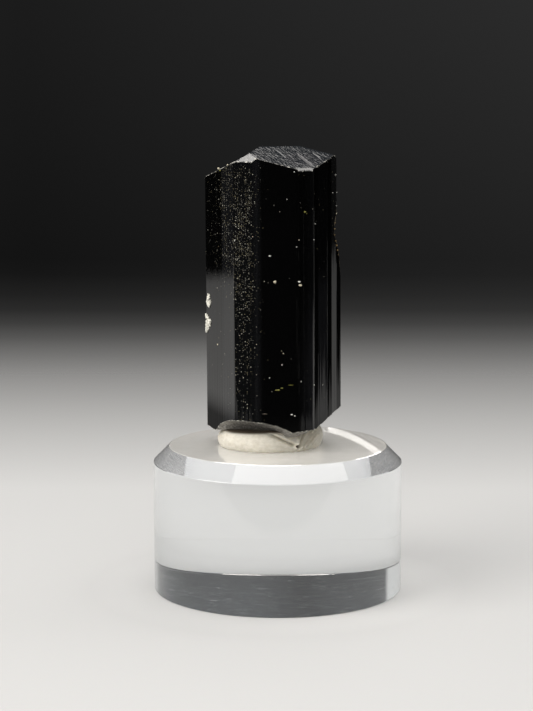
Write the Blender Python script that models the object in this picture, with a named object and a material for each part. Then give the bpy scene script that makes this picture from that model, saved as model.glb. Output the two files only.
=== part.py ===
"""A black tourmaline crystal standing on a pad of putty on a round clear acrylic stand.

The origin is the centre of the stand's underside. +Z is up and -Y is the front.
Directions round the crystal are azimuths in degrees: 0 faces the front (-Y), 90 faces +X.
"""

import math

import bmesh
import bpy
from mathutils import Matrix, Vector

MM = 0.001

# Driving dimensions: the stand
STAND_DIAMETER = 31.75 * MM
STAND_HEIGHT = 18.5 * MM
STAND_BEVEL = 2.0 * MM
STAND_SIDES = 96

# Driving dimensions: the putty pad
GAP = 0.3 * MM
PUTTY_CENTRE = Vector((-0.95 * MM, 0.0))
PUTTY_HALF_WIDTH = 6.65 * MM
PUTTY_HALF_DEPTH = 6.2 * MM
PUTTY_SIDES = 40
PUTTY_RINGS = 7
PUTTY_FATTEST_SHARE = 0.42
PUTTY_TOP_SHARE = 0.74

# Driving dimensions: the crystal. Its axis stands a little left of the stand's.
AXIS = Vector((-0.6 * MM, 0.0))
ROUGH_BOTTOM = 18.0 * MM
ROUGH_TOP = 60.0 * MM

# Prism faces in order round the crystal: azimuth in degrees, and distance from the axis.
# Multiples of 60 are the hexagonal prism, 30 + 120 n the trigonal one, -12 a vicinal face.
PRISM = {
    "left_front": (-60, 7.05 * MM),
    "front_left": (-30, 7.36 * MM),
    "vicinal": (-12, 7.42 * MM),
    "front": (0, 7.30 * MM),
    "front_right": (30, 7.96 * MM),
    "right_front": (60, 7.46 * MM),
    "right": (90, 8.55 * MM),
    "right_back": (120, 7.90 * MM),
    "back_right": (150, 7.30 * MM),
    "back": (180, 7.00 * MM),
    "back_left": (210, 7.70 * MM),
    "left_back": (240, 8.00 * MM),
    "left": (270, 8.50 * MM),
}

# Growth grooves that run the height of a face: place along it (0 to 1), width and depth in mm
GROOVES = {
    "left_front": [(0.36, 0.28, 0.09), (0.56, 0.30, 0.10), (0.95, 0.22, 0.08)],
    "front": [(0.91, 0.24, 0.06)],
    "right_front": [(0.17, 0.50, 0.12), (0.42, 0.40, 0.10), (0.70, 0.60, 0.15)],
    "right_back": [(0.22, 0.45, 0.12), (0.50, 0.60, 0.15), (0.80, 0.40, 0.10)],
    "back_right": [(0.35, 0.50, 0.12), (0.72, 0.35, 0.09)],
    "back": [(0.18, 0.40, 0.10), (0.46, 0.70, 0.14), (0.78, 0.45, 0.10)],
    "back_left": [(0.50, 0.40, 0.10)],
    "left_back": [(0.20, 0.50, 0.12), (0.47, 0.35, 0.09), (0.75, 0.55, 0.13)],
}
GROOVE_FLOOR = 0.5  # the flat floor's share of a groove's width

# Faces that end the crystal above: a point in mm, the azimuth that the face slopes down to, and its slope.
# The trigonal pyramid {10-11} dips 27.3 degrees.
PYRAMID_DIP = 27.3
TOP_FACES = [
    ((2.45, -7.30, 54.00), 30, PYRAMID_DIP),
    ((-9.10, 0.60, 52.70), -90, 29.9),
    ((3.30, -1.40, 56.42), 150, PYRAMID_DIP),
    ((0.00, -2.80, 56.61), 208, 28.8),
    ((-4.28, -6.37, 55.00), -30, 50.0),
    ((3.38, -6.89, 53.77), 30, 55.0),
]

# Broken faces that end it below: a point in mm, the azimuth that the face rises to, and its slope.
RESTING_SLOPE = 0.075
RESTING_LEFT = Vector((-9.0 * MM, 20.5 * MM))
BOTTOM_FACES = [
    ((RESTING_LEFT.x / MM, 0.0, RESTING_LEFT.y / MM), 90, math.degrees(math.atan(RESTING_SLOPE))),
    ((5.03, -5.50, 21.66), 96, 26.7),
]

# The conchoidal chip out of the lower front edge
CHIP_CENTRE = Vector((-4.0, -6.7, 19.55)) * MM
CHIP_RADII = Vector((9.0, 4.0, 3.05)) * MM
CHIP_TURN = -30

# The overgrown layer on the right, which broke away from its upper end: its outline in X and Z
LEDGE_X = {"layer": 7.95 * MM, "scoop": 7.12 * MM, "core": 7.42 * MM}
LEDGE_Z = {"start": 40.5 * MM, "low": 45.7 * MM, "high": 46.7 * MM, "core": 48.4 * MM}
LEDGE_SPREAD = (-4.0 * MM, 6.5 * MM)

# Etched furrows in the upper front face: the upper end in X and Y, and the length, all in mm
FURROWS = [
    (-1.30, -4.90, 1.5),
    (-0.10, -4.20, 2.3),
    (1.20, -4.30, 1.4),
    (2.49, -3.72, 2.7),
    (3.30, -2.70, 1.5),
    (4.30, -2.30, 1.7),
    (5.40, -1.90, 1.0),
]
FURROW_AZIMUTH = 42
FURROW_WIDTH = 0.34 * MM
FURROW_DEPTH = 0.14 * MM

# Pale feldspar crusts on the left edge: centre and half sizes
FELDSPAR = {
    "upper": (Vector((-8.78, -0.35, 37.15)), Vector((0.42, 0.75, 0.80))),
    "lower": (Vector((-8.82, 0.10, 34.00)), Vector((0.48, 0.95, 1.25))),
}


def clear_scene():
    for old in list(bpy.data.objects):
        bpy.data.objects.remove(old, do_unlink=True)


def make_material(name, colour, roughness, transmission=0.0, ior=1.5):
    material = bpy.data.materials.new(name)
    material.use_nodes = True
    shader = material.node_tree.nodes["Principled BSDF"]
    shader.inputs["Base Color"].default_value = (*colour, 1.0)
    shader.inputs["Roughness"].default_value = roughness
    shader.inputs["Metallic"].default_value = 0.0
    shader.inputs["Transmission Weight"].default_value = transmission
    shader.inputs["IOR"].default_value = ior
    return material


def add_object(name, bm, material=None):
    bmesh.ops.recalc_face_normals(bm, faces=bm.faces)
    mesh = bpy.data.meshes.new(name)
    bm.to_mesh(mesh)
    bm.free()
    made = bpy.data.objects.new(name, mesh)
    bpy.context.scene.collection.objects.link(made)
    if material:
        mesh.materials.append(material)
    else:
        made.hide_render = True
        made.display_type = "WIRE"
    return made


def outward(azimuth):
    """The horizontal unit vector that faces an azimuth."""
    turn = math.radians(azimuth)
    return Vector((math.sin(turn), -math.cos(turn)))


def corner(face, following):
    """Where two neighbouring prism faces meet, in plan."""
    (turn_a, out_a), (turn_b, out_b) = PRISM[face], PRISM[following]
    a, b = outward(turn_a), outward(turn_b)
    spread = a.cross(b)
    return AXIS + Vector((out_a * b.y - out_b * a.y, a.x * out_b - b.x * out_a)) / spread


def crystal_outline():
    """The prism's outline in plan, with its growth grooves cut in."""
    names = list(PRISM)
    points = []
    for index, name in enumerate(names):
        start = corner(names[index - 1], name)
        end = corner(name, names[(index + 1) % len(names)])
        along = (end - start).normalized()
        inward = -outward(PRISM[name][0])
        points.append(start)
        for place, width, depth in GROOVES.get(name, []):
            middle = start.lerp(end, place)
            half = along * width * MM / 2
            floor = inward * depth * MM
            points.append(middle - half)
            points.append(middle - half * GROOVE_FLOOR + floor)
            points.append(middle + half * GROOVE_FLOOR + floor)
            points.append(middle + half)
    return points


def extrude_outline(bm, points, low, high):
    """A closed prism between two heights."""
    face = bm.faces.new([bm.verts.new((p.x, p.y, low)) for p in points])
    lifted = bmesh.ops.extrude_face_region(bm, geom=[face])
    top = [item for item in lifted["geom"] if isinstance(item, bmesh.types.BMVert)]
    bmesh.ops.translate(bm, vec=(0, 0, high - low), verts=top)


def slice_off(bm, point, normal):
    """Cuts away what lies beyond a plane and closes the cut with one flat face."""
    everything = bm.verts[:] + bm.edges[:] + bm.faces[:]
    cut = bmesh.ops.bisect_plane(
        bm, geom=everything, plane_co=point, plane_no=normal, clear_outer=True, dist=1e-7
    )
    rim = [item for item in cut["geom_cut"] if isinstance(item, bmesh.types.BMEdge)]
    bmesh.ops.edgeloop_fill(bm, edges=[edge for edge in rim if edge.is_boundary])


def slope_normal(azimuth, dip, facing):
    """The normal of a face that leans towards an azimuth by its dip. facing is 1 above and -1 below."""
    lean = math.radians(dip)
    side = outward(azimuth) * math.sin(lean)
    return Vector((side.x, side.y, facing * math.cos(lean)))


def conchoidal_chip():
    """A flattened ball over the lower front edge."""
    bm = bmesh.new()
    bmesh.ops.create_uvsphere(bm, u_segments=40, v_segments=20, radius=1.0)
    bmesh.ops.scale(bm, vec=CHIP_RADII, verts=bm.verts)
    bmesh.ops.rotate(bm, matrix=Matrix.Rotation(math.radians(CHIP_TURN), 3, "Z"), verts=bm.verts)
    bmesh.ops.translate(bm, vec=CHIP_CENTRE, verts=bm.verts)
    return add_object("chip_cutter", bm)


def broken_ledge():
    """What is missing over the ledge on the right, swept along Y."""
    beyond = LEDGE_X["layer"] + 4 * MM
    profile = [
        (beyond, LEDGE_Z["start"]),
        (beyond, ROUGH_TOP),
        (LEDGE_X["core"], ROUGH_TOP),
        (LEDGE_X["core"], LEDGE_Z["core"]),
        (LEDGE_X["scoop"], LEDGE_Z["high"]),
        (LEDGE_X["scoop"], LEDGE_Z["low"]),
        (LEDGE_X["layer"], LEDGE_Z["start"]),
    ]
    bm = bmesh.new()
    near, far = LEDGE_SPREAD
    face = bm.faces.new([bm.verts.new((x, near, z)) for x, z in profile])
    swept = bmesh.ops.extrude_face_region(bm, geom=[face])
    moved = [item for item in swept["geom"] if isinstance(item, bmesh.types.BMVert)]
    bmesh.ops.translate(bm, vec=(0, far - near, 0), verts=moved)
    return add_object("ledge_cutter", bm)


def upper_front_height(x, y):
    """Height of the upper front pyramid face over a point in plan."""
    (px, py, pz), azimuth, dip = TOP_FACES[0]
    fall = outward(azimuth) * math.tan(math.radians(dip))
    return pz * MM - fall.x * (x - px * MM) - fall.y * (y - py * MM)


def etched_furrows():
    """Wedges that lie down the upper front face."""
    bm = bmesh.new()
    heading = outward(FURROW_AZIMUTH)
    across = Vector((-heading.y, heading.x)) * FURROW_WIDTH / 2
    for x, y, length in FURROWS:
        start = Vector((x, y)) * MM
        ends = []
        for place in (start, start + heading * length * MM):
            left, right = place - across, place + across
            ends.append([
                bm.verts.new((left.x, left.y, upper_front_height(left.x, left.y) + FURROW_DEPTH)),
                bm.verts.new((right.x, right.y, upper_front_height(right.x, right.y) + FURROW_DEPTH)),
                bm.verts.new((place.x, place.y, upper_front_height(place.x, place.y) - FURROW_DEPTH)),
            ])
        first, second = ends
        bm.faces.new(first)
        bm.faces.new(reversed(second))
        for side in range(3):
            after = (side + 1) % 3
            bm.faces.new((first[side], second[side], second[after], first[after]))
    return add_object("furrow_cutter", bm)


def feldspar_crusts():
    """Low faceted lumps, merged into the crystal they grew on."""
    bm = bmesh.new()
    for centre, half in FELDSPAR.values():
        lump = bmesh.ops.create_icosphere(bm, subdivisions=2, radius=1.0)["verts"]
        bmesh.ops.scale(bm, vec=half * MM, verts=lump)
        bmesh.ops.translate(bm, vec=centre * MM, verts=lump)
    return add_object("feldspar_lumps", bm)


def add_boolean(target, cutter, operation):
    modifier = target.modifiers.new(cutter.name, "BOOLEAN")
    modifier.operation = operation
    modifier.solver = "EXACT"
    modifier.object = cutter


def build_crystal(material):
    bm = bmesh.new()
    extrude_outline(bm, crystal_outline(), ROUGH_BOTTOM, ROUGH_TOP)
    for point, azimuth, dip in TOP_FACES:
        slice_off(bm, Vector(point) * MM, slope_normal(azimuth, dip, 1))
    for point, azimuth, dip in BOTTOM_FACES:
        slice_off(bm, Vector(point) * MM, slope_normal(azimuth, dip, -1))
    crystal = add_object("crystal", bm, material)
    add_boolean(crystal, broken_ledge(), "DIFFERENCE")
    add_boolean(crystal, conchoidal_chip(), "DIFFERENCE")
    add_boolean(crystal, etched_furrows(), "DIFFERENCE")
    add_boolean(crystal, feldspar_crusts(), "UNION")


def build_putty(material):
    """A pad pressed flat above by the crystal's sloping underside and below by the stand."""
    bottom = STAND_HEIGHT + GAP
    rings = []
    bm = bmesh.new()
    for ring in range(PUTTY_RINGS):
        share = ring / (PUTTY_RINGS - 1)
        from_fattest = (share - PUTTY_FATTEST_SHARE) / (1 - PUTTY_FATTEST_SHARE)
        reach = PUTTY_TOP_SHARE + (1 - PUTTY_TOP_SHARE) * math.sqrt(1 - from_fattest**2)
        verts = []
        for side in range(PUTTY_SIDES):
            turn = 2 * math.pi * side / PUTTY_SIDES
            x = PUTTY_CENTRE.x + PUTTY_HALF_WIDTH * reach * math.cos(turn)
            y = PUTTY_CENTRE.y + PUTTY_HALF_DEPTH * reach * math.sin(turn)
            top = RESTING_LEFT.y + RESTING_SLOPE * (x - RESTING_LEFT.x) - GAP
            verts.append(bm.verts.new((x, y, bottom + share * (top - bottom))))
        rings.append(verts)
    for lower, upper in zip(rings, rings[1:]):
        for side in range(PUTTY_SIDES):
            after = (side + 1) % PUTTY_SIDES
            bm.faces.new((lower[side], lower[after], upper[after], upper[side]))
    bm.faces.new(reversed(rings[0]))
    bm.faces.new(rings[-1])
    putty = add_object("putty", bm, material)
    putty.data.shade_smooth()
    putty.data.set_sharp_from_angle(angle=math.radians(40))


def build_stand(material):
    """A turned acrylic block: a short cylinder with a bevelled upper rim."""
    radius = STAND_DIAMETER / 2
    bm = bmesh.new()
    bmesh.ops.create_cone(
        bm, cap_ends=True, segments=STAND_SIDES, radius1=radius, radius2=radius, depth=STAND_HEIGHT
    )
    bmesh.ops.translate(bm, vec=(0, 0, STAND_HEIGHT / 2), verts=bm.verts)
    rim = [edge for edge in bm.edges if all(vert.co.z > STAND_HEIGHT / 2 for vert in edge.verts)]
    bmesh.ops.bevel(bm, geom=rim, offset=STAND_BEVEL, segments=1, profile=0.5, affect="EDGES")
    stand = add_object("stand", bm, material)
    stand.data.shade_smooth()
    stand.data.set_sharp_from_angle(angle=math.radians(30))


def main():
    clear_scene()
    build_stand(make_material("clear acrylic", (0.96, 0.97, 0.98), 0.02, transmission=1.0, ior=1.49))
    build_putty(make_material("mounting putty", (0.72, 0.69, 0.60), 0.6))
    build_crystal(make_material("black tourmaline", (0.008, 0.008, 0.008), 0.12, ior=1.63))


main()
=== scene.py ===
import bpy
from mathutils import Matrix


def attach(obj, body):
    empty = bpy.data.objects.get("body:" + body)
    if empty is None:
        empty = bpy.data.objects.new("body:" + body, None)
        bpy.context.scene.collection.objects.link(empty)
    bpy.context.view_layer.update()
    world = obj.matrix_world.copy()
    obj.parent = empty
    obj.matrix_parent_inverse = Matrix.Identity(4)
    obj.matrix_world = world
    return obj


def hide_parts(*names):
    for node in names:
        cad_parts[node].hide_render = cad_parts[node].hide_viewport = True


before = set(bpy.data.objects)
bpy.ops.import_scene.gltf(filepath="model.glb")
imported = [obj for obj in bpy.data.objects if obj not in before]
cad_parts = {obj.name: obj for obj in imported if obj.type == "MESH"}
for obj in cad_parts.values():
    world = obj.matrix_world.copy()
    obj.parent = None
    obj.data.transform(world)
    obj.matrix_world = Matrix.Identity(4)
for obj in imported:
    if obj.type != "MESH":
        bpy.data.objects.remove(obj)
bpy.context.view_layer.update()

import math
import random

import bmesh
import bpy
from mathutils import Matrix, Vector, noise
from mathutils.geometry import delaunay_2d_cdt

# A black tourmaline crystal on a pad of putty on a round clear acrylic stand.
# Shapes are worked out in millimetres, with the frame's axes, and scaled once when a mesh is made.
# Directions round the crystal are azimuths in degrees: 0 faces the front (-Y), 90 faces +X.
mm = 0.001


def toLinear(hexColour):  # sRGB hex to the linear values that shaders use
    channels = [int(hexColour[i:i + 2], 16) / 255 for i in (1, 3, 5)]
    return tuple(c / 12.92 if c <= 0.04045 else ((c + 0.055) / 1.055) ** 2.4 for c in channels) + (1.0,)


# Adds a node with its inputs, a ramp's stops and its settings. An input is a value, a hex colour, an output
# to link, or a node, whose first output in use is linked.
def addNode(tree, kind, inputs=None, stops=None, **settings):
    node = tree.nodes.new("ShaderNode" + kind)
    for name, value in settings.items():
        setattr(node, name, value)
    for socket, source in (inputs or {}).items():
        if isinstance(source, bpy.types.Node):
            source = next(output for output in source.outputs if output.enabled)
        if isinstance(source, bpy.types.NodeSocket):
            tree.links.new(source, node.inputs[socket])
        else:
            node.inputs[socket].default_value = toLinear(source) if isinstance(source, str) else source
    if stops:
        ramp = node.color_ramp.elements
        while len(ramp) < len(stops):
            ramp.new(0.5)
        for element, (place, colour) in zip(ramp, stops):
            element.position = place
            element.color = toLinear(colour) if isinstance(colour, str) else colour
    return node


def newMaterial(name):
    material = bpy.data.materials.new(name)
    material.use_nodes = True
    material.node_tree.nodes.clear()
    return material, material.node_tree


def addShader(material, inputs):  # one Principled shader makes the surface
    tree = material.node_tree
    shader = addNode(tree, "BsdfPrincipled", inputs)
    addNode(tree, "OutputMaterial", {"Surface": shader.outputs["BSDF"]})
    return material


# Object coordinates in millimetres, stretched along each axis by how many repeats fit in a millimetre.
def millimetres(tree, perMm=(1, 1, 1), turn=(0, 0, 0)):
    place = addNode(tree, "TexCoord").outputs["Object"]
    if any(turn):
        angles = [math.radians(angle) for angle in turn]
        place = addNode(tree, "Mapping", {"Vector": place, "Rotation": angles})
    scale = [1000 * repeats for repeats in perMm]
    return addNode(tree, "Mapping", {"Vector": place, "Scale": scale})


def linkMesh(name, bm, materials, sharpAngle=None):
    mesh = bpy.data.meshes.new(name)
    bmesh.ops.scale(bm, vec=(mm, mm, mm), verts=bm.verts)
    bm.to_mesh(mesh)
    bm.free()
    for material in materials:
        mesh.materials.append(material)
    piece = bpy.data.objects.new(name, mesh)
    bpy.context.scene.collection.objects.link(piece)
    if sharpAngle is not None:
        mesh.shade_smooth()
        mesh.set_sharp_from_angle(angle=math.radians(sharpAngle))
    return piece


def addPiece(piece, node):
    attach(piece, "root")
    if node:
        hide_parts(node)


def outward(azimuth):
    turn = math.radians(azimuth)
    return Vector((math.sin(turn), -math.cos(turn)))


def smoothStep(low, high, value):
    share = min(max((value - low) / (high - low), 0.0), 1.0)
    return share * share * (3 - 2 * share)


def noiseAt(x, y, z):
    return noise.noise(Vector((x, y, z)))


def between(table, value):  # straight lines between (position, value) pairs
    if value <= table[0][0]:
        return table[0][1]
    for (a, fromValue), (b, toValue) in zip(table, table[1:]):
        if value <= b:
            return fromValue + (toValue - fromValue) * (value - a) / (b - a)
    return table[-1][1]


# Camera
cameraSet = {"place": (0.0, -0.260, 0.0679), "downDeg": 8.30, "leftDeg": 0.315, "lens": 104.56}

camera = bpy.data.objects.new("camera", bpy.data.cameras.new("camera"))
bpy.context.scene.collection.objects.link(camera)
camera.location = cameraSet["place"]
camera.rotation_euler = (math.radians(90 - cameraSet["downDeg"]), 0, math.radians(cameraSet["leftDeg"]))
camera.data.lens = cameraSet["lens"]
camera.data.sensor_width = 36
camera.data.clip_start = 0.01
bpy.context.scene.camera = camera
bpy.context.scene.view_settings.view_transform = "Standard"
print("camera placed")


# Studio: paper with a painted pool of light that fades into a dark room, a softbox overhead, a smaller one
# at the left in front
studioSet = {
    "paper": "#bfbfbe",
    # where the paper begins in front, from y to y
    "front": (-67, -57),
    # where it ends out of sight at each side: from x to x, the way it is measured, and how far that way
    "ends": [((-100, -130), (-0.866, 0.5, 0), (361, 368)), ((100, 130), (0, 1, 0), (208, 246))],
    # beyond this far aside it fades later, by this share of how much further aside it is
    "sideStart": 75, "sideShare": 0.45,
    # painted shade: how dim the paper is painted out of sight at each side, from x to x
    "paintedShadeAside": [(80, 190, 0.66), (-80, -190, 0.85)],
    # painted light: under the stand the paper is painted paler between these distances from the middle, up
    # to this many times, which lifts the stand's shadow there
    "paintedLightUnderStand": (24, 16, 1.16),
    "boxes": [
        {"name": "overheadSoftbox", "size": (0.90, 0.60), "place": (0.05, -0.02, 0.60), "power": 5.25},
        {"name": "keySoftbox", "size": (0.44, 0.36), "place": (-0.46, -0.26, 0.38), "power": 2.5},
    ],
    "boxColour": "#fffbf7", "aim": (0, 0, 0.02),
    # half the paper's width and how far it lies under the stand, in mm
    "reach": 700, "gap": 0.05,
    # how pale the paper is, by the distance behind the crystal in mm: a painted pool of light, pale near the
    # crystal and darker further behind
    "paintedPool": [(-90, 1.0), (60, 0.93), (95, 0.76), (125, 0.62), (150, 0.50), (175, 0.39), (205, 0.25),
              (235, 0.135), (262, 0.066), (290, 0.03), (325, 0.015), (380, 0.003), (430, 0.0)],
    # the room behind, and the paler walls in front and at the sides, by the sine of the gaze's height
    "room": [(-0.11, "#1e1e1e"), (0.016, "#2a2a2a"), (0.14, "#303132"), (0.24, "#474849"), (0.34, "#686c70"),
             (0.60, "#6c7278"), (1.0, "#787d83")],
    "walls": [(-0.03, "#050505"), (0.03, "#bdbdbb"), (0.24, "#d2d2d0"), (0.60, "#c4c6c8"), (1.0, "#a4a9ae")],
    # how much of that there is from left to right, by the gaze's x
    "aside": [(-0.60, 0.88), (-0.30, 0.72), (-0.12, 0.47), (0.12, 1.0), (0.50, 1.0), (0.85, 1.24)],
    "wallAside": [(-1.0, 1.0), (1.0, 0.48)],
    # the walls take over where the gaze along this direction falls from the one to the other
    "wallsFrom": ((0.176, 1, 0), 0.52, 0.45),
}


def buildStudio():
    material, tree = newMaterial("paperPaintedLightPool")
    place = millimetres(tree)
    split = addNode(tree, "SeparateXYZ", {"Vector": place}).outputs
    aside = addNode(tree, "Math", {0: split["X"]}, operation="ABSOLUTE")
    beyond = addNode(tree, "Math", {0: aside, 1: studioSet["sideStart"]}, operation="SUBTRACT")
    spare = addNode(tree, "Math", {0: beyond, 1: 0.0}, operation="MAXIMUM")
    shift = addNode(tree, "Math", {0: spare, 1: studioSet["sideShare"]}, operation="MULTIPLY")
    behind = addNode(tree, "Math", {0: split["Y"], 1: shift}, operation="SUBTRACT")
    # the painted pool of light: the paper is painted paler near the crystal and fades further behind it
    first, last = studioSet["paintedPool"][0][0], studioSet["paintedPool"][-1][0]
    along = addNode(tree, "MapRange", {"Value": behind, "From Min": first, "From Max": last})
    stops = [((y - first) / (last - first), (share, share, share, 1)) for y, share in studioSet["paintedPool"]]
    pale = addNode(tree, "ValToRGB", {"Fac": along}, stops=stops)

    # where the paper begins in front, and the painted shade at each side
    stretches = [(split["Y"], *studioSet["front"], 0.0, 1.0)]
    stretches += [(split["X"], start, end, 1.0, share) for start, end, share in studioSet["paintedShadeAside"]]
    parts = [addNode(tree, "MapRange", {"Value": output, "From Min": start, "From Max": end,
                                        "To Min": low, "To Max": high}, interpolation_type="SMOOTHSTEP")
             for output, start, end, low, high in stretches]
    for outOfSight, heading, reach in studioSet["ends"]:
        way = addNode(tree, "VectorMath", {0: place, 1: heading}, operation="DOT_PRODUCT")
        shares = [addNode(tree, "MapRange", {"Value": source, "From Min": start, "From Max": end},
                          interpolation_type="SMOOTHSTEP")
                  for source, (start, end) in ((split["X"], outOfSight), (way, reach))]
        past = addNode(tree, "Math", {0: shares[0], 1: shares[1]}, operation="MULTIPLY")
        parts.append(addNode(tree, "Math", {0: 1.0, 1: past}, operation="SUBTRACT"))
    for part in parts:
        pale = addNode(tree, "Math", {0: pale, 1: part}, operation="MULTIPLY")

    fibre = addNode(tree, "TexNoise", {"Vector": place, "Scale": 1.2, "Detail": 4})
    mottle = addNode(tree, "Mix", {"Factor": 0.03, "A": studioSet["paper"], "B": fibre.outputs["Color"]},
                     data_type="RGBA", blend_type="MULTIPLY")
    # painted light: the paper is painted paler under and around the stand
    fromStand = addNode(tree, "VectorMath", {0: place}, operation="LENGTH")
    far, near, paler = studioSet["paintedLightUnderStand"]
    under = addNode(tree, "MapRange", {"Value": fromStand, "From Min": far, "From Max": near,
                                       "To Min": 1.0, "To Max": paler})
    paper = addNode(tree, "VectorMath", {0: mottle, "Scale": under}, operation="SCALE")
    addShader(material, {"Roughness": 0.75, "IOR": 1.45, "Base Color": paper, "Alpha": pale})

    bm = bmesh.new()
    bmesh.ops.create_grid(bm, x_segments=1, y_segments=1, size=studioSet["reach"])
    bmesh.ops.translate(bm, vec=(0, 0, -studioSet["gap"]), verts=bm.verts)
    floor = linkMesh("paperFloor", bm, [material])

    world = bpy.data.worlds.new("darkRoom")
    bpy.context.scene.world = world
    world.use_nodes = True
    tree = world.node_tree
    gaze = addNode(tree, "TexCoord").outputs["Generated"]
    split = addNode(tree, "SeparateXYZ", {"Vector": gaze}).outputs
    sides = []
    for keys in (("room", "aside"), ("walls", "wallAside")):
        ramps = []
        for key, output in zip(keys, (split["Z"], split["X"])):
            share = addNode(tree, "MapRange", {"Value": output, "From Min": -1.0})
            stops = [((at + 1) / 2, tone if isinstance(tone, str) else (tone, tone, tone, 1))
                     for at, tone in studioSet[key]]
            ramps.append(addNode(tree, "ValToRGB", {"Fac": share}, stops=stops))
        sides.append(addNode(tree, "Mix", {"Factor": 1.0, "A": ramps[0], "B": ramps[1]}, data_type="RGBA",
                             blend_type="MULTIPLY"))
    heading, start, end = studioSet["wallsFrom"]
    wall = addNode(tree, "VectorMath", {0: gaze, 1: heading}, operation="DOT_PRODUCT")
    nearer = addNode(tree, "MapRange", {"Value": wall, "From Min": start, "From Max": end})
    both = addNode(tree, "Mix", {"Factor": nearer, "A": sides[0], "B": sides[1]}, data_type="RGBA")
    tree.links.new(both.outputs["Result"], tree.nodes["Background"].inputs["Color"])

    for box in studioSet["boxes"]:
        light = bpy.data.lights.new(box["name"], "AREA")
        light.shape = "RECTANGLE"
        light.size, light.size_y = box["size"]
        light.energy = box["power"]
        light.color = toLinear(studioSet["boxColour"])[:3]
        lamp = bpy.data.objects.new(box["name"], light)
        lamp.location = box["place"]
        toward = Vector(studioSet["aim"]) - lamp.location
        lamp.rotation_euler = toward.to_track_quat("-Z", "Y").to_euler()
        bpy.context.scene.collection.objects.link(lamp)
    print("studio built")


buildStudio()


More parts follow.
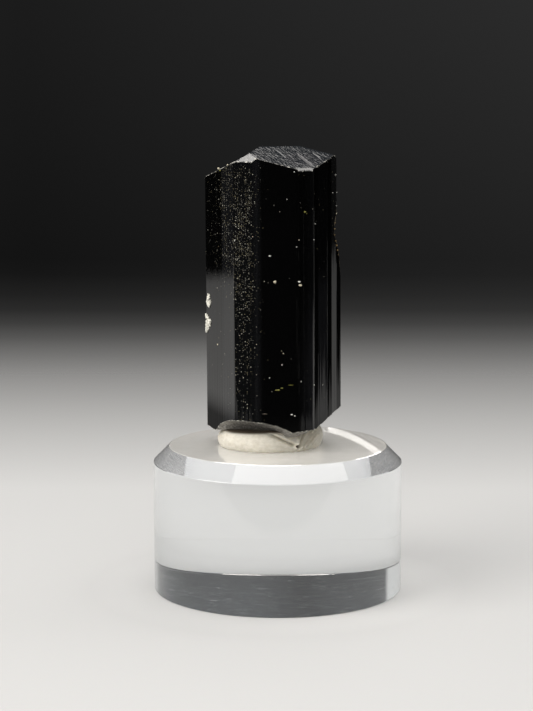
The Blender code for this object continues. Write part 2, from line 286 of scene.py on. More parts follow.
# Crystal: schorl. Each prism face has an azimuth and a distance from the axis.
crystalSet = {
    "axis": (-0.6, 0.0),
    "faces": [
        ("leftFront", -60, 7.05), ("frontLeft", -30, 7.36), ("vicinal", -12, 7.42), ("front", 0, 7.30),
        ("frontRight", 30, 7.96), ("rightFront", 60, 7.46), ("right", 90, 8.55), ("rightBack", 120, 7.90),
        ("backRight", 150, 7.30), ("back", 180, 7.00), ("backLeft", 210, 7.70), ("leftBack", 240, 8.00),
        ("left", 270, 8.50),
    ],
    "step": 0.085, "rows": 74, "cornerWear": 0.05,
    "lean": 0.006, "leanFrom": 38,
    # growth grooves: place along the face (0 to 1), width, depth
    "grooves": {
        "leftFront": [(0.40, 0.16, 0.006), (0.57, 0.20, 0.008), (0.64, 0.10, 0.005)],
        "frontLeft": [(0.22, 0.10, 0.02), (0.80, 0.16, 0.03)],
        "vicinal": [(0.35, 0.14, 0.04), (0.67, 0.12, 0.04)],
        "front": [(0.955, 0.24, 0.06)],
        "frontRight": [(0.385, 0.26, 0.06), (0.72, 0.12, 0.03)],
        "rightBack": [(0.22, 0.45, 0.12), (0.50, 0.60, 0.15), (0.80, 0.40, 0.10)],
        "backRight": [(0.35, 0.50, 0.12), (0.72, 0.35, 0.09)],
        "back": [(0.18, 0.40, 0.10), (0.46, 0.70, 0.14), (0.78, 0.45, 0.10)],
        "backLeft": [(0.50, 0.40, 0.10)],
        "leftBack": [(0.20, 0.50, 0.12), (0.47, 0.35, 0.09), (0.75, 0.55, 0.13)],
    },
    # stretches where two prism faces alternate as fine steps: from, to, how many, how far the treads turn
    "steps": {"rightFront": [(0.072, 0.17, 2, -27), (0.19, 0.50, 7, -25), (0.54, 0.66, 2, -27),
                             (0.86, 0.99, 3, -25)],
              "rightBack": [(0.58, 0.72, 3, -20)],
              "leftBack": [(0.28, 0.40, 3, 22)]},
    # fine striation by face: depth in mm
    "striae": {"leftFront": 0.004, "frontLeft": 0.010, "vicinal": 0.008, "front": 0.002, "frontRight": 0.006,
               "rightFront": 0.010, "right": 0.010},
    "otherStriae": 0.014,
    # speckle of pale mineral dust, by place along each face
    "speckle": {"leftFront": [(0, 0.03), (0.34, 0.06), (0.38, 0.30), (0.50, 0.10), (0.56, 0.14),
                              (0.62, 0.62), (1, 0.66)],
                "frontLeft": [(0, 0.80), (0.20, 0.95), (0.90, 0.95), (1, 0.40)],
                "vicinal": [(0, 0.22), (0.2, 0.12), (1, 0.08)],
                "front": [(0, 0.04), (0.15, 0.003), (1, 0.003)], "frontRight": [(0, 0.008), (1, 0.012)],
                "rightFront": [(0, 0.012)]},
    "otherSpeckle": [(0, 0.10)],
    # what share of it is left lower down, by height
    "speckleFade": {"leftFront": [(38.5, 0.05), (42.5, 1.0)],
                    "frontLeft": [(23, 0.18), (30, 0.32), (38, 0.64), (46, 1.0), (53, 0.9), (54.3, 0.35)]},
    "otherFade": [(23, 0.6), (46, 1.0)],
    # a film of finer dust, by place along each face, and what share of it is left by height
    "haze": {"vicinal": [(0, 0.05), (0.4, 0.14), (1, 0.02)],
             "frontRight": [(0, 0.02), (0.6, 0.10), (1, 0.22)],
             "rightFront": [(0.17, 0.01), (0.20, 0.15), (0.50, 0.15), (0.55, 0.02)],
             "leftFront": [(0.56, 0.0), (0.64, 0.12), (1, 0.12)], "frontLeft": [(0, 0.06)]},
    "hazeFade": {"frontRight": [(30, 1.0), (40, 0.2)], "rightFront": [(38, 1.0), (42, 0.15)]},
    # faces that end it above: a point, the azimuth that the face slopes down to, its slope, its roughness
    "top": [
        ((2.45, -7.30, 54.00), 30, 27.3, 0.017),
        ((-9.10, 0.60, 52.70), -90, 29.9, 0.010),
        ((3.30, -1.40, 56.42), 150, 27.3, 0.035),
        ((0.00, -2.80, 56.61), 208, 28.8, 0.035),
        ((-4.02, -6.53, 54.97), -30, 68.0, 0.0),
        ((3.38, -6.89, 53.72), 30, 51.0, 0.0),
    ],
    # the first face's streaks run this many degrees off its slope, and the mirror facets have none
    "streakTurn": 12, "smoothTop": (4, 5),
    "rimWear": (0.01, 0.06), "rimHeight": 0.06,
    # furrows down the first face: half their width, how far their ends are eased, where the bright wall is
    "furrowAzimuth": 42, "furrowHalf": 0.2, "furrowEase": 0.15, "furrowWall": (0.08, 0.17),
    # each furrow's start, length and depth
    "furrows": [(-0.10, -4.20, 1.6, 0.02), (1.20, -4.30, 1.2, 0.02), (2.49, -3.72, 2.7, 0.16),
                (4.30, -2.30, 1.4, 0.025), (5.40, -1.90, 1.0, 0.02)],
    # broken faces that end it below: a point, the azimuth that the face rises to, its slope
    "bottom": [((-9.0, 0.0, 20.5), 90, 4.29), ((5.03, -5.50, 21.66), 96, 26.7)],
    "chip": {"centre": (-4.0, -6.7, 19.55), "radii": (9.0, 4.0, 3.05), "turn": -30, "ripple": 0.03},
    # the heel is lifted this much left of this x, and a bulge hangs down in front
    "heel": (-7.9, 0.35), "bulge": {"centre": (1.6, -4.9), "radii": (3.4, 2.5), "depth": 0.9},
    # how far +X the right side reaches, by height, where a layer broke away
    "ledge": [(37.9, 9.0), (40.5, 7.89), (42.3, 7.78), (43.8, 7.59), (45.6, 7.12), (46.6, 7.12),
              (47.5, 7.30), (48.8, 7.40), (60, 7.40)],
    "ledgeBroken": (38.5, 48.8),
    # the mesh over each end: how far it is laid, and for its two grids the spacing and the rim left free
    "endReach": 9.6, "endGrid": (0.16, 0.32), "fineGrid": (0.055, 0.11),
    # the fine one lies in front, from this x and up to this y
    "fineFrom": (-6.0, -1.0),
}

# the order of the crystal's materials
grownFace, etchedEnd, mirrorFacet, conchoidalFracture, wornRimPaintedHighlight, ironStainedFracture = range(6)


def faceCorners():
    faces = crystalSet["faces"]
    corners = []
    for index, (_, turnB, outB) in enumerate(faces):
        _, turnA, outA = faces[index - 1]
        a, b = outward(turnA), outward(turnB)
        meet = Vector((outA * b.y - outB * a.y, a.x * outB - b.x * outA)) / a.cross(b)
        corners.append(Vector(crystalSet["axis"]) + meet)
    return corners


# One face's profile as (distance along it, how far it stands out): worn corners, grooves and steps.
def faceProfile(name, length):
    wear = crystalSet["cornerWear"]
    points = [(wear, 0.0)]
    features = [(place, kind, rest) for kind in ("grooves", "steps")
                for place, *rest in crystalSet[kind].get(name, [])]
    for place, kind, detail in sorted(features):
        if kind == "grooves":
            width, depth = detail
            middle = place * length
            points += [(middle - width / 2, 0), (middle - width / 4, -depth), (middle + width / 4, -depth),
                       (middle + width / 2, 0)]
        else:
            end, count, turn = detail
            tooth = (end - place) * length / count
            rise = 0.8 * tooth * math.tan(math.radians(abs(turn)))
            for index in range(count):
                start = place * length + index * tooth
                steep = 0.8 if turn < 0 else 0.2
                points += [(start, -rise / 2), (start + steep * tooth, rise / 2)]
            points.append((end * length, -rise / 2))
    points.append((length - wear, 0.0))
    return points


# The prism's columns in plan: (place, outward direction, face name, striation phase, share of the face).
def prismColumns():
    corners = faceCorners()
    columns = []
    for index, (name, azimuth, _) in enumerate(crystalSet["faces"]):
        start, end = corners[index], corners[(index + 1) % len(corners)]
        along = (end - start).normalized()
        out = outward(azimuth)
        length = (end - start).length
        profile = faceProfile(name, length)
        for (a, outA), (b, outB) in zip(profile, profile[1:]):
            count = max(1, round((b - a) / crystalSet["step"]))
            for number in range(count):
                share = number / count
                distance = a + (b - a) * share
                stand = outA + (outB - outA) * share
                columns.append((start + along * distance + out * stand, out, name, index * 50 + distance,
                                distance / length))
        columns.append((start + along * profile[-1][0], out, name, index * 50 + profile[-1][0], 1.0))
    return columns


def prismPlace(column, z):  # where a column is at a height: striated, leaning, and broken away on the right
    place, out, name, phase, _ = column
    depth = crystalSet["striae"].get(name, crystalSet["otherStriae"])
    broad = noiseAt(phase / 0.42, z / 11, 0)
    fine = noiseAt(phase / 0.17, z / 7, 9)
    x, y = place + out * (broad + 0.6 * fine) * depth
    limit = between(crystalSet["ledge"], z)
    broken = x > limit
    if broken:
        wave = 0.05 * noiseAt(y * 1.7, z * 1.1, 4)
        x = limit + wave + 0.03 * noiseAt(y * 5, z * 4, 7)
    return x - crystalSet["lean"] * (z - crystalSet["leanFrom"]), y, broken


def furrowDepth(x, y):
    heading = outward(crystalSet["furrowAzimuth"])
    half, ease = crystalSet["furrowHalf"], crystalSet["furrowEase"]
    depth = 0.0
    for startX, startY, length, deep in crystalSet["furrows"]:
        offset = Vector((x - startX, y - startY))
        along, across = offset.dot(heading), offset.cross(heading)
        if -ease < along < length + ease and abs(across) < half:
            ends = smoothStep(-ease, 0.2, along) * (1 - smoothStep(length - 0.3, length + ease, along))
            depth = max(depth, deep * ends * (1 - abs(across) / half))
    return depth


def etching(x, y, index):  # streaks down the face and pits between them
    azimuth = crystalSet["top"][index][1] + (crystalSet["streakTurn"] if index == 0 else 0)
    heading = outward(azimuth)
    along, across = heading.dot((x, y)), heading.cross((x, y))
    streak = noiseAt(along / 0.9, across / 0.22, index * 7)
    finer = noiseAt(along / 0.5, across / 0.11, index * 7 + 3)
    lump = noiseAt(x / 0.6, y / 0.6, index * 7 + 5)
    return 0.5 * streak + 0.35 * finer + 0.5 * lump


def topHeight(x, y):  # the height, and which face of the top it is
    best = (1e9, 0)
    for index, ((px, py, pz), azimuth, dip, rough) in enumerate(crystalSet["top"]):
        fall = outward(azimuth) * math.tan(math.radians(dip))
        z = pz - fall.x * (x - px) - fall.y * (y - py)
        if z < best[0] + 0.2:
            if rough:
                z += rough * etching(x, y, index)
            if index == 0:
                z -= furrowDepth(x, y)
        best = min(best, (z, index))
    return best


def topMaterial(x, y):  # the mirror facets, and the smooth wall of the deepest furrow, are the brighter ones
    startX, startY, length, _ = max(crystalSet["furrows"], key=lambda furrow: furrow[3])
    heading = outward(crystalSet["furrowAzimuth"])
    offset = Vector((x - startX, y - startY))
    near, far = crystalSet["furrowWall"]
    onWall = 0 < offset.dot(heading) < length and near < offset.cross(heading) < far
    smooth = onWall or topHeight(x, y)[1] in crystalSet["smoothTop"]
    return mirrorFacet if smooth else etchedEnd


def fineTop(x, y):  # the small mirror facets and the furrows of the front face
    leftX, backY = crystalSet["fineFrom"]
    if x < leftX or y > backY:
        return False
    return topHeight(x, y)[1] in crystalSet["smoothTop"] or furrowDepth(x, y) > 0.01


def bottomHeight(x, y):
    heights = []
    for index, ((px, py, pz), azimuth, slope) in enumerate(crystalSet["bottom"]):
        rise = outward(azimuth) * math.tan(math.radians(slope))
        z = pz + rise.x * (x - px) + rise.y * (y - py)
        heights.append(z + 0.05 * noiseAt(x / 0.8, y / 0.8, 20 + index))
    heel, lift = crystalSet["heel"]
    bulge = crystalSet["bulge"]
    spans = zip((x, y), bulge["centre"], bulge["radii"])
    away = math.hypot(*((at - middle) / radius for at, middle, radius in spans))
    shift = lift * (1 - smoothStep(heel - 1.2, heel, x)) - bulge["depth"] * (1 - smoothStep(0.2, 1.0, away))
    best = max(heights) + shift
    chip = crystalSet["chip"]
    (chipX, chipY, chipZ), (length, width, deep) = chip["centre"], chip["radii"]
    offset = Matrix.Rotation(-math.radians(chip["turn"]), 2) @ Vector((x - chipX, y - chipY))
    along, across = offset.x / length, offset.y / width
    inside = 1 - along * along - across * across
    if inside > 0:
        z = chipZ + deep * math.sqrt(inside)
        ripple = chip["ripple"] * math.sin(26 * math.sqrt(1 - inside))
        z += ripple + 0.04 * noiseAt(x * 2, y * 2, z * 2)
        best = max(best, z)
    return best


def insideOutline(x, y, margin):
    offset = Vector((x, y)) - Vector(crystalSet["axis"])
    return all(out - offset.dot(outward(turn)) > margin for _, turn, out in crystalSet["faces"])


# Closes one end of the prism with a surface of the given height over the rim, finer where that is asked for.
def fillEnd(bm, rim, heightAt, materialOf, limitX, upward, fineAt=None):
    flat = [Vector((vert.co.x, vert.co.y)) for vert in rim]
    count = len(flat)
    edges = [(i, (i + 1) % count) for i in range(count)]
    grids = [(crystalSet["endGrid"], None)]
    if fineAt:
        grids.append((crystalSet["fineGrid"], fineAt))
    reach, rowShare = crystalSet["endReach"], 0.866
    inner = []
    for (spacing, margin), wanted in grids:
        across, deep = math.ceil(reach / spacing), math.ceil(reach / spacing / rowShare)
        for row in range(-deep, deep + 1):
            for number in range(-across, across + 1):
                x = (number + 0.5 * (row % 2)) * spacing
                y = row * spacing * rowShare
                if x > limitX - 0.2 or not insideOutline(x, y, margin):
                    continue
                if wanted is None or wanted(x, y):
                    inner.append(Vector((x, y)))
    points, _, triangles, origins, _, _ = delaunay_2d_cdt(flat + inner, edges, [list(range(count))], 1, 1e-6)
    verts = []
    for point, origin in zip(points, origins):
        onRim = [i for i in origin if i < count]
        if onRim:
            verts.append(rim[onRim[0]])
        else:
            verts.append(bm.verts.new((point.x, point.y, heightAt(point.x, point.y))))
    for triangle in triangles:
        corners = [verts[i] for i in triangle]
        if len(set(corners)) < 3:
            continue
        centre = sum((vert.co for vert in corners), Vector()) / 3
        face = bm.faces.new(corners if upward else corners[::-1])
        face.material_index = materialOf(centre.x, centre.y)


def buildCrystal(materials):
    bm = bmesh.new()
    speckle = bm.verts.layers.float.new("speckle")
    haze = bm.verts.layers.float.new("haze")
    columns = prismColumns()
    rows = crystalSet["rows"]
    least, most = crystalSet["rimWear"]
    grid = []
    for column in columns:
        _, out, name, phase, share = column
        low, high = 21.0, 54.0  # a first guess, which four rounds settle
        for _ in range(4):
            x, y, _ = prismPlace(column, high)
            high = topHeight(x, y)[0]
            x, y, _ = prismPlace(column, low)
            low = bottomHeight(x, y)
        density = between(crystalSet["speckle"].get(name, crystalSet["otherSpeckle"]), share)
        fade = crystalSet["speckleFade"].get(name, crystalSet["otherFade"])
        film = between(crystalSet["haze"].get(name, [(0, 0.01)]), share)
        filmFade = crystalSet["hazeFade"].get(name, [(0, 1.0)])
        shoulder, foot = high - crystalSet["rimHeight"], low + crystalSet["rimHeight"]
        waves = [noiseAt(phase / 0.3, 0, seed) for seed in (57, 31)]
        nicks = [least + (most - least) * abs(wave) * 2 for wave in waves]
        x, y, broken = prismPlace(column, low)
        x, y = Vector((x, y)) - out * nicks[0]
        strip = [(bm.verts.new((x, y, bottomHeight(x, y))), broken)]
        for row in range(rows):
            z = foot + (shoulder - foot) * row / (rows - 1)
            x, y, broken = prismPlace(column, z)
            vert = bm.verts.new((x, y, z))
            vert[speckle] = density * between(fade, z)
            vert[haze] = film * between(filmFade, z)
            strip.append((vert, broken))
        x, y = Vector((x, y)) - out * nicks[1]
        strip.append((bm.verts.new((x, y, topHeight(x, y)[0])), broken))
        grid.append(strip)
    low, high = crystalSet["ledgeBroken"]
    for index, strip in enumerate(grid):
        after = grid[(index + 1) % len(grid)]
        for row in range(rows + 1):
            corners = (strip[row][0], after[row][0], after[row + 1][0], strip[row + 1][0])
            kind = grownFace
            if row in (0, rows):
                # the rims at top and bottom take the worn rim with its painted highlight
                kind = wornRimPaintedHighlight
            elif strip[row][1] and after[row][1] and low < strip[row][0].co.z < high:
                kind = ironStainedFracture
            bm.faces.new(corners).material_index = kind
    (_, lowLimit), *_, (_, highLimit) = crystalSet["ledge"]
    lowRim, highRim = [strip[0][0] for strip in grid], [strip[-1][0] for strip in grid]
    fillEnd(bm, highRim, lambda x, y: topHeight(x, y)[0], topMaterial, highLimit, True, fineTop)
    fillEnd(bm, lowRim, bottomHeight, lambda x, y: conchoidalFracture, lowLimit, False)
    bmesh.ops.recalc_face_normals(bm, faces=bm.faces)
    piece = linkMesh("tourmalinePrism", bm, materials, 22)
    for polygon in piece.data.polygons:
        polygon.use_smooth = polygon.material_index != wornRimPaintedHighlight
    addPiece(piece, "crystal")
    print("crystal built:", len(piece.data.polygons), "faces")


# Schorl as it grew: glassy and black through, so the eye sees only reflections and pale mineral dust.
def schorlGrownFace():
    look = {"body": "#040404", "film": "#3b3c40", "roughness": 0.026, "ior": 1.635, "striaPerMm": 9.0,
            # dust: grains per mm, radius as a share of their spacing, colours, how sharply patches part
            "specks": [(4.2, 0.30, "#dcd8c6", "#161513", (0.28, 0.50)),
                       (6.6, 0.36, "#a59a70", "#1f1e1c", (0.36, 0.62))],
            # the foot is scuffed between two heights, and its reflection is dimmed between two places along
            # a direction, as painted shade
            "scuffed": (24.5, 21.5, 0.28), "dimmedFootReflection": ((0.25, 0, 1), 24.1, 20.6, 0.05)}
    material, tree = newMaterial("schorlGrownFace")
    density = addNode(tree, "Attribute", attribute_name="speckle").outputs["Fac"]
    film = addNode(tree, "Attribute", attribute_name="haze").outputs["Fac"]
    place = millimetres(tree)
    colour = addNode(tree, "Mix", {"Factor": film, "A": look["body"], "B": look["film"]}, data_type="RGBA")
    cover = 0.0
    for index, (perMm, radius, pale, dull, patch) in enumerate(look["specks"]):
        grains = addNode(tree, "TexVoronoi", {"Vector": place, "Scale": perMm, "Randomness": 0.72},
                         feature="F1").outputs
        patches = addNode(tree, "TexNoise", {"Vector": millimetres(tree, (0.9, 0.9, 0.35)), "Scale": 1.0,
                                             "Detail": 3, "W": index * 3.0}, noise_dimensions="4D")
        cloud = addNode(tree, "MapRange", {"Value": patches, "From Min": patch[0], "From Max": patch[1]})
        chance = addNode(tree, "SeparateColor", {"Color": grains["Color"]}).outputs
        share = addNode(tree, "Math", {0: density, 1: cloud}, operation="MULTIPLY")
        some = addNode(tree, "Math", {0: chance[0], 1: share}, operation="LESS_THAN")
        dot = addNode(tree, "MapRange", {"Value": grains["Distance"], "From Min": radius,
                                         "From Max": radius * 0.5})
        mask = addNode(tree, "Math", {0: dot, 1: some}, operation="MULTIPLY")
        faint = addNode(tree, "Math", {0: chance[2], 1: 0.38}, operation="POWER")
        tint = addNode(tree, "Mix", {"Factor": faint, "A": pale, "B": dull}, data_type="RGBA")
        colour = addNode(tree, "Mix", {"Factor": mask, "A": colour, "B": tint}, data_type="RGBA")
        cover = addNode(tree, "Math", {0: cover, 1: mask}, operation="MAXIMUM")
    height = addNode(tree, "SeparateXYZ", {"Vector": place}).outputs["Z"]
    start, end, most = look["scuffed"]
    scuffed = addNode(tree, "MapRange", {"Value": height, "From Min": start, "From Max": end,
                                         "To Max": most})
    worn = addNode(tree, "Math", {0: cover, 1: scuffed}, operation="MAXIMUM")
    rough = addNode(tree, "MapRange", {"Value": worn, "To Min": look["roughness"], "To Max": 0.7})
    # painted shade: the reflection grows weaker towards the foot
    heading, start, end, least = look["dimmedFootReflection"]
    toward = addNode(tree, "VectorMath", {0: place, 1: heading}, operation="DOT_PRODUCT")
    dimmedFootReflection = addNode(tree, "MapRange", {"Value": toward, "From Min": start, "From Max": end, "To Min": 0.5,
                                       "To Max": least}, interpolation_type="SMOOTHSTEP")
    across = look["striaPerMm"]
    striae = addNode(tree, "TexNoise", {"Vector": millimetres(tree, (across, across, 0.12)), "Scale": 1.0,
                                        "Detail": 3})
    bump = addNode(tree, "Bump", {"Height": striae, "Strength": 0.35, "Distance": 0.012 * mm})
    return addShader(material, {"IOR": look["ior"], "Base Color": colour, "Roughness": rough,
                                "Specular IOR Level": dimmedFootReflection, "Normal": bump})


# The same mineral where it was etched: it glitters in grey points, with streaks down the slope.
def schorlEtchedEnd():
    look = {"low": "#020203", "high": "#151517", "roughness": (0.03, 0.08), "specular": 0.36, "turn": -42}
    material, tree = newMaterial("schorlEtchedTermination")
    downSlope = (0, 0, look["turn"])
    streaks = addNode(tree, "TexNoise", {"Vector": millimetres(tree, (4.4, 1.1, 1.1), downSlope),
                                         "Scale": 1.0, "Detail": 5, "Roughness": 0.65})
    pits = addNode(tree, "TexNoise", {"Vector": millimetres(tree, (2.2, 2.2, 2.2)), "Scale": 1.0,
                                      "Detail": 3})
    both = addNode(tree, "Math", {0: streaks, 1: pits}, operation="MULTIPLY")
    facets = addNode(tree, "TexVoronoi", {"Vector": millimetres(tree, (3.4, 1.9, 1.9), downSlope),
                                          "Scale": 1.0}, feature="F1")
    relief = addNode(tree, "Math", {0: facets, 1: 0.5, 2: both}, operation="MULTIPLY_ADD")
    colour = addNode(tree, "ValToRGB", {"Fac": both}, stops=[(0.22, look["low"]), (0.36, look["high"])])
    least, most = look["roughness"]
    rough = addNode(tree, "MapRange", {"Value": pits, "From Min": 0.35, "From Max": 0.68, "To Min": least,
                                       "To Max": most})
    bump = addNode(tree, "Bump", {"Height": relief, "Strength": 0.6, "Distance": 0.04 * mm})
    return addShader(material, {"IOR": 1.635, "Specular IOR Level": look["specular"], "Base Color": colour,
                                "Roughness": rough, "Normal": bump})


# Small mirror-smooth faces at the rim of the termination, which flash white under the softbox, and whose
# grey colour is a painted highlight.
def schorlMirrorFacet():
    material, tree = newMaterial("schorlMirrorFacet")
    haze = addNode(tree, "TexNoise", {"Vector": millimetres(tree, (4, 4, 4)), "Scale": 1.0, "Detail": 4})
    # painted highlight: a grey base colour, mottled by noise, that brightens the black facets beyond their
    # real reflection
    colour = addNode(tree, "ValToRGB", {"Fac": haze}, stops=[(0.35, "#4a4a49"), (0.7, "#757573")])
    return addShader(material, {"IOR": 1.635, "Roughness": 0.12, "Base Color": colour})


# Broken schorl: conchoidal, greyer and duller than a grown face.
def schorlFracture(name, dark, pale):
    material, tree = newMaterial(name)
    grain = addNode(tree, "TexNoise", {"Vector": millimetres(tree, (3.5, 3.5, 3.5)), "Scale": 1.0,
                                       "Detail": 6, "Roughness": 0.7})
    colour = addNode(tree, "ValToRGB", {"Fac": grain}, stops=[(0.35, dark), (0.7, pale)])
    bump = addNode(tree, "Bump", {"Height": grain, "Strength": 0.6, "Distance": 0.08 * mm})
    return addShader(material, {"IOR": 1.635, "Roughness": 0.42, "Base Color": colour, "Normal": bump})


# The worn rim of the termination: a thin bruised line, painted whiter than the faces beside it, partly as
# wear and partly as a painted highlight along the edge.
def schorlWornRimPaintedHighlight():
    material, tree = newMaterial("schorlWornRimPaintedHighlight")
    nicks = addNode(tree, "TexNoise", {"Vector": millimetres(tree, (2.6, 2.6, 2.6)), "Scale": 1.0,
                                       "Detail": 2})
    # wear and painted highlight: pale nicks that make the rim read as a bright line
    colour = addNode(tree, "ValToRGB", {"Fac": nicks}, stops=[(0.50, "#232220"), (0.63, "#dedbd0")])
    return addShader(material, {"IOR": 1.635, "Roughness": 0.4, "Base Color": colour})


buildCrystal([schorlGrownFace(), schorlEtchedEnd(), schorlMirrorFacet(),
              schorlFracture("schorlConchoidalFracture", "#4a4845", "#b6b3ad"), schorlWornRimPaintedHighlight(),
              schorlFracture("schorlIronStainedFracture", "#17140f", "#917d57")])


# Grains and crusts that grew on the faces. A grain has its x, z and size in mm, its colour, and how long it
# is for its height.
growthSet = {
    "colours": {"cream": "#d8cfb4", "white": "#d4d3cc", "lime": "#77742a", "rust": "#2e2416",
                "feldspar": "#eceade", "ochre": "#94794a"},
    "grains": {
        "leftFront": [
            (-7.63, 31.65, 0.13, "cream", 1.8), (-7.3, 53.85, 0.2, "cream", 1.8),
            (-6.1, 54.4, 0.16, "cream", 1.3), (-7.1, 53.62, 0.14, "lime", 1.8),
        ],
        "frontLeft": [
            (-5.3, 45.16, 0.2, "white", 0.6),
        ],
        "front": [
            (-0.34, 40.17, 0.26, "cream", 1.1), (2.66, 40.2, 0.16, "white", 1.6),
            (2.78, 39.76, 0.2, "cream", 1.8), (1.19, 50.33, 0.13, "white", 0.5),
            (-0.96, 43.38, 0.15, "white", 1.8), (2.64, 45.35, 0.13, "cream", 0.7),
            (2.35, 44.49, 0.12, "white", 1.0), (2.09, 53.7, 0.14, "white", 0.8),
            (-1.08, 28.22, 0.13, "white", 1.0), (-0.08, 26.7, 0.16, "lime", 3.2),
            (0.46, 26.95, 0.12, "lime", 2.4), (1.5, 27.33, 0.07, "lime", 8.0),
            (0.45, 31.6, 0.1, "cream", 0.5), (0.66, 31.3, 0.08, "cream", 1.5),
            (0.48, 29.85, 0.12, "white", 1.0), (2.05, 23.45, 0.13, "white", 1.2),
            (1.66, 23.62, 0.12, "white", 2.0), (-1.7, 23.69, 0.16, "rust", 3.5),
        ],
        "frontRight": [
            (2.8, 49.89, 0.07, "white", 0.15), (3.39, 48.76, 0.17, "lime", 1.7),
            (3.6, 48.55, 0.09, "lime", 1.0), (2.84, 27.76, 0.15, "white", 0.6),
        ],
        "rightFront": [
            (4.5, 45.27, 0.15, "white", 1.0), (4.66, 47.21, 0.1, "white", 1.0),
            (4.47, 27.16, 0.13, "white", 1.0), (5.55, 26.86, 0.11, "white", 1.0),
            # chips and stained grains along the broken right edge
            (7.32, 52.95, 0.15, "white", 0.8), (7.46, 50.78, 0.11, "white", 0.9),
            (7.42, 49.1, 0.11, "white", 1.0), (7.41, 48.1, 0.14, "cream", 0.9),
            (6.94, 50.78, 0.1, "white", 1.0), (7.26, 46.98, 0.12, "ochre", 1.0),
            (7.18, 46.22, 0.13, "ochre", 1.0), (7.17, 45.46, 0.12, "ochre", 1.0),
            (7.31, 44.71, 0.16, "ochre", 1.0), (7.45, 44.1, 0.17, "ochre", 1.1),
            (7.54, 43.5, 0.17, "ochre", 1.1), (7.6, 42.9, 0.15, "ochre", 1.0),
        ],
    },
    # crusts of feldspar on the left face: how many grains, and their stretch from the left edge by height
    "crusts": [
        (44, [(36.25, 0.65, 0.90), (36.6, 0.45, 1.10), (37.1, 0.25, 1.35), (37.4, 0.20, 1.30),
              (37.75, 0.60, 1.00)]),
        (74, [(32.95, 0.10, 0.20), (33.4, 0.05, 0.60), (34.0, 0.05, 1.10), (34.5, 0.05, 1.35),
              (34.85, 0.05, 0.65), (35.1, 0.05, 0.15)]),
    ],
}


def addLump(bm, centre, half, turn, rough, colour):
    made = bmesh.ops.create_icosphere(bm, subdivisions=2, radius=1.0)["verts"]
    seed = Vector(centre)
    for vert in made:
        coarse, fine = [noise.noise(vert.co * often + seed) for often in (1.6, 4.5)]
        bulge = 1 + rough * coarse + 0.5 * rough * fine
        shape = Vector([c * h * bulge for c, h in zip(vert.co, half)])
        vert.co = seed + Matrix.Rotation(turn, 3, "Z") @ shape
    for face in {face for vert in made for face in vert.link_faces}:
        face.material_index = list(growthSet["colours"]).index(colour)


def buildGrowth(materials):
    faces = {name: (azimuth, out) for name, azimuth, out in crystalSet["faces"]}
    axis = Vector(crystalSet["axis"])
    bm = bmesh.new()
    for face, grains in growthSet["grains"].items():
        azimuth, out = faces[face]
        normal = outward(azimuth)
        for x, z, size, colour, length in grains:
            y = axis.y + (out - normal.x * (x - axis.x)) / normal.y
            x -= crystalSet["lean"] * (z - crystalSet["leanFrom"])
            half = (size * length * 0.6, size * 0.4, size * 0.6)
            addLump(bm, (x, y, z), half, math.radians(azimuth), 0.5, colour)
    corner, after = faceCorners()[:2]
    along, azimuth = (after - corner).normalized(), faces["leftFront"][0]
    for count, spans in growthSet["crusts"]:
        dice = random.Random(count)
        for _ in range(count):
            z = dice.uniform(spans[0][0], spans[-1][0])
            start = between([(height, low) for height, low, _ in spans], z)
            end = between([(height, high) for height, _, high in spans], z)
            place = corner + along * dice.uniform(start, end) + outward(azimuth) * dice.uniform(-0.02, 0.08)
            size = dice.uniform(0.06, 0.19)
            addLump(bm, (place.x, place.y, z), (size, size * 0.7, size * dice.uniform(0.8, 1.5)),
                    math.radians(azimuth), 0.7, "feldspar")
    piece = linkMesh("mineralGrowths", bm, materials, 35)
    addPiece(piece, None)
    print("growths built:", len(piece.data.polygons), "faces")


# Feldspar and iron-stained grains: chalky, so the eye reads them as sitting on the glassy black.
def crustyMineral(name, colour):
    material, tree = newMaterial(name)
    grain = addNode(tree, "TexNoise", {"Vector": millimetres(tree, (3, 3, 3)), "Scale": 1.0, "Detail": 4})
    shade = tuple(c * 0.45 for c in toLinear(colour)[:3]) + (1.0,)
    mixed = addNode(tree, "ValToRGB", {"Fac": grain}, stops=[(0.3, shade), (0.5, colour)])
    bump = addNode(tree, "Bump", {"Height": grain, "Strength": 0.6, "Distance": 0.06 * mm})
    return addShader(material, {"Roughness": 0.65, "IOR": 1.53, "Base Color": mixed, "Normal": bump})


buildGrowth([crustyMineral(name + "MineralGrain", colour) for name, colour in growthSet["colours"].items()])


# Stand: turned from cast acrylic rod, faced, bevelled and polished
standSet = {"radius": 15.875, "height": 18.5, "bevel": 2.0, "edge": 0.06, "sides": 288}


def castAcrylic(name, colour):  # clear as water: the eye sees only what it bends and mirrors
    return addShader(newMaterial(name)[0], {"IOR": 1.49, "Roughness": 0.0, "Base Color": colour,
                                            "Transmission Weight": 1.0})


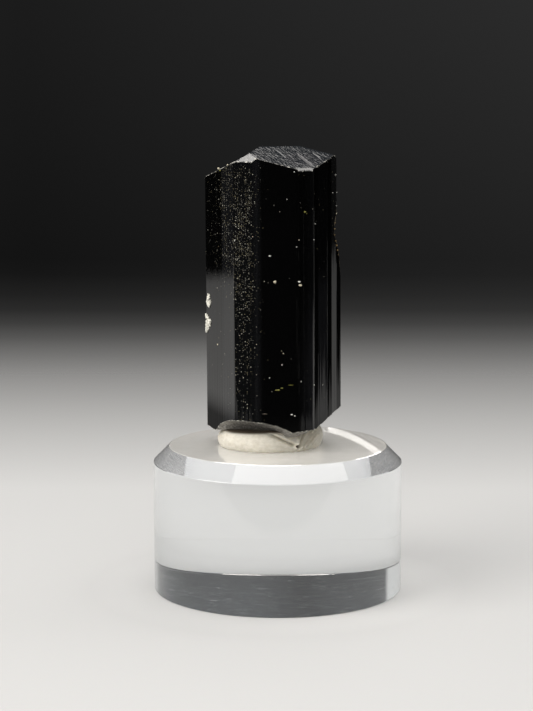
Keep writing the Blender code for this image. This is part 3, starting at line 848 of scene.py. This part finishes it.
# A face of the acrylic with a thin matt film of dust and fine scratches, which catches the light.
def acrylicFilm(name, colour, perMm, least, most, scratches):
    material = castAcrylic(name, colour)
    tree = material.node_tree
    haze = addNode(tree, "TexNoise", {"Vector": millimetres(tree, perMm), "Scale": 1.0, "Detail": 6,
                                      "Roughness": 0.7})
    film = addNode(tree, "MapRange", {"Value": haze, "From Min": 0.3, "From Max": 0.7, "To Min": least,
                                      "To Max": most})
    for turn, strength in scratches:  # the borders of long thin cells, a few of them showing
        border = addNode(tree, "TexVoronoi", {"Vector": millimetres(tree, (0.22, 1.6, 1), (0, 0, turn)),
                                              "Scale": 1.0}, feature="DISTANCE_TO_EDGE")
        line = addNode(tree, "MapRange", {"Value": border, "From Min": 0.035, "From Max": 0.0,
                                          "To Max": strength})
        where = addNode(tree, "TexNoise", {"Vector": millimetres(tree, (0.5, 0.5, 0.5), (0, 0, turn * 2)),
                                           "Scale": 1.0, "Detail": 2})
        some = addNode(tree, "MapRange", {"Value": where, "From Min": 0.5, "From Max": 0.62})
        mark = addNode(tree, "Math", {0: line, 1: some}, operation="MULTIPLY")
        film = addNode(tree, "Math", {0: film, 1: mark}, operation="MAXIMUM")
    clear = addNode(tree, "Math", {0: 1.0, 1: film}, operation="SUBTRACT")
    tree.links.new(clear.outputs[0], tree.nodes["Principled BSDF"].inputs["Transmission Weight"])
    return material


def standMaterials():  # in the order of the stand's faces: wall, top, bevel, underside
    return [
        castAcrylic("acrylicPolishedWall", "#fafcfd"),
        acrylicFilm("acrylicPolishedTop", "#fffcf6", (0.5, 0.5, 0.5), 0.41, 0.44, [(20, 0.3)]),
        acrylicFilm("acrylicMachinedBevel", "#fafcff", (0.7, 0.7, 0.25), 0.20, 0.25, []),
        acrylicFilm("acrylicScuffedUnderside", "#fafcfd", (3, 3, 3), 0.0, 0.07,
                    [(8, 0.5), (-35, 0.35), (80, 0.3)]),
    ]


def buildStand(materials):
    radius, height, bevel, edge = (standSet[key] for key in ("radius", "height", "bevel", "edge"))
    eased = edge * 0.7
    # the section from the rim of the top down to the underside, with each edge eased
    section = [(radius - bevel - edge, height), (radius - bevel + eased, height - eased),
               (radius - eased, height - bevel + eased), (radius, height - bevel - edge),
               (radius, edge), (radius - edge, 0.0)]
    wall, top, bevelled, under = range(4)
    bm = bmesh.new()
    rings = []
    for r, z in section:
        ring = []
        for side in range(standSet["sides"]):
            turn = 2 * math.pi * side / standSet["sides"]
            ring.append(bm.verts.new((r * math.cos(turn), r * math.sin(turn), z)))
        rings.append(ring)
    for kind, upper, lower in zip((top, bevelled, bevelled, wall, wall), rings, rings[1:]):
        for side in range(len(upper)):
            after = (side + 1) % len(upper)
            face = bm.faces.new((upper[side], lower[side], lower[after], upper[after]))
            face.material_index = kind
    bm.faces.new(rings[0]).material_index = top
    bm.faces.new(rings[-1][::-1]).material_index = under
    bmesh.ops.recalc_face_normals(bm, faces=bm.faces)
    piece = linkMesh("acrylicStand", bm, materials, 20)
    addPiece(piece, "stand")
    print("stand built")


buildStand(standMaterials())


# Putty: mounting tack, rolled and pressed flat by the crystal
puttySet = {
    "centre": (-0.95, 0.0), "half": (6.65, 6.2), "bottom": 18.48,
    # where it is fattest, as a share of its height, and how wide it is at its ends for that
    "fattest": 0.36, "topShare": 0.80, "bottomShare": 0.95,
    "rings": 48, "sides": 640, "sink": 0.03,
    # folds pressed into its front, as (x, z) from one end to the other, width and depth in mm
    "folds": [((-1.9, 21.3), (2.6, 19.15), 0.19, 0.42), ((2.6, 19.15), (3.35, 20.9), 0.16, 0.70),
              ((3.1, 19.0), (4.35, 20.6), 0.10, 0.34), ((3.6, 18.95), (4.9, 20.4), 0.09, 0.30),
              ((4.4, 19.2), (5.3, 20.3), 0.08, 0.18)],
    # the colour of the painted shade in the folds and of the painted contact shadow at the seam
    "paintedCreaseShade": "#463b2d",
    # how deep a fold is where painted shade darkens it, and the painted contact shadow along the seam on
    # top, by the height's share and by x
    "paintedShade": (0.14, 0.60), "seam": (0.86, 0.97), "seamEnd": (1.0, 3.0),
}


def foldDepth(x, z):  # a groove with a low lip on its upper side
    depth = 0.0
    for start, end, width, deep in puttySet["folds"]:
        a, b, place = Vector(start), Vector(end), Vector((x, z))
        share = min(max((place - a).dot(b - a) / (b - a).length_squared, 0.0), 1.0)
        offset = place - (a + (b - a) * share)
        side = (b - a).normalized().cross(offset)
        depth += deep * math.exp(-(offset.length / width) ** 2)
        depth -= 0.5 * deep * math.exp(-((offset.length - 1.9 * width) / width) ** 2) * (side > 0)
    return depth


def mountingTack():  # oily and off-white: matt, a little light goes into it, with a kneaded skin
    material, tree = newMaterial("mineralTackKneaded")
    skin = addNode(tree, "TexNoise", {"Vector": millimetres(tree, (1.6, 1.6, 2.6)), "Scale": 1.0,
                                      "Detail": 5, "Roughness": 0.6})
    colour = addNode(tree, "ValToRGB", {"Fac": skin}, stops=[(0.3, "#d6d0c0"), (0.7, "#ece7da")])
    bump = addNode(tree, "Bump", {"Height": skin, "Strength": 0.4, "Distance": 0.12 * mm})
    # painted shade in the folds and a painted contact shadow at the seam under the crystal, read from a
    # vertex attribute
    depth = addNode(tree, "Attribute", attribute_name="paintedCreaseShade").outputs["Fac"]
    paintedShade = addNode(tree, "Mix", {"Factor": depth, "A": colour, "B": puttySet["paintedCreaseShade"]},
                     data_type="RGBA")
    return addShader(material, {"Roughness": 0.58, "IOR": 1.45, "Subsurface Weight": 0.15,
                                "Subsurface Radius": (1.0, 0.8, 0.55), "Subsurface Scale": 0.6 * mm,
                                "Base Color": paintedShade, "Normal": bump})


def buildPutty(material):
    centreX, centreY = puttySet["centre"]
    halfX, halfY = puttySet["half"]
    (leftX, _, leftZ), _, slope = crystalSet["bottom"][0]
    bm = bmesh.new()
    paintedCreaseShade = bm.verts.layers.float.new("paintedCreaseShade")
    rings = []
    count, fattest = puttySet["rings"], puttySet["fattest"]
    for ring in range(count):
        share = ring / (count - 1)
        away = (share - fattest) / (1 - fattest) if share > fattest else (share - fattest) / fattest
        least = puttySet["topShare"] if share > fattest else puttySet["bottomShare"]
        reach = least + (1 - least) * math.sqrt(max(0.0, 1 - away * away))
        verts = []
        for side in range(puttySet["sides"]):
            turn = 2 * math.pi * side / puttySet["sides"]
            lump = 0.03 * noiseAt(math.cos(turn) * 2, math.sin(turn) * 2, share * 1.2)
            x = centreX + halfX * (reach + lump) * math.cos(turn)
            y = centreY + halfY * (reach + lump) * math.sin(turn)
            top = leftZ + math.tan(math.radians(slope)) * (x - leftX) + puttySet["sink"]
            z = puttySet["bottom"] + share * (top - puttySet["bottom"])
            dent = foldDepth(x, z) * min(1.0, 6 * (1 - share), 6 * share) if y < 0 else 0.0
            vert = bm.verts.new((x - dent * math.cos(turn), y - dent * math.sin(turn), z))
            # painted contact shadow along the top seam, and painted shade deeper in the folds
            seam = smoothStep(*puttySet["seam"], share) * (1 - smoothStep(*puttySet["seamEnd"], x))
            vert[paintedCreaseShade] = max(0.8 * smoothStep(*puttySet["paintedShade"], dent), seam)
            verts.append(vert)
        rings.append(verts)
    for lower, upper in zip(rings, rings[1:]):
        for side in range(len(lower)):
            after = (side + 1) % len(lower)
            bm.faces.new((lower[side], lower[after], upper[after], upper[side]))
    bm.faces.new(rings[0][::-1])
    bm.faces.new(rings[-1])
    bmesh.ops.recalc_face_normals(bm, faces=bm.faces)
    piece = linkMesh("mountingTackPad", bm, [material], 60)
    addPiece(piece, "putty")
    print("putty built")


buildPutty(mountingTack())
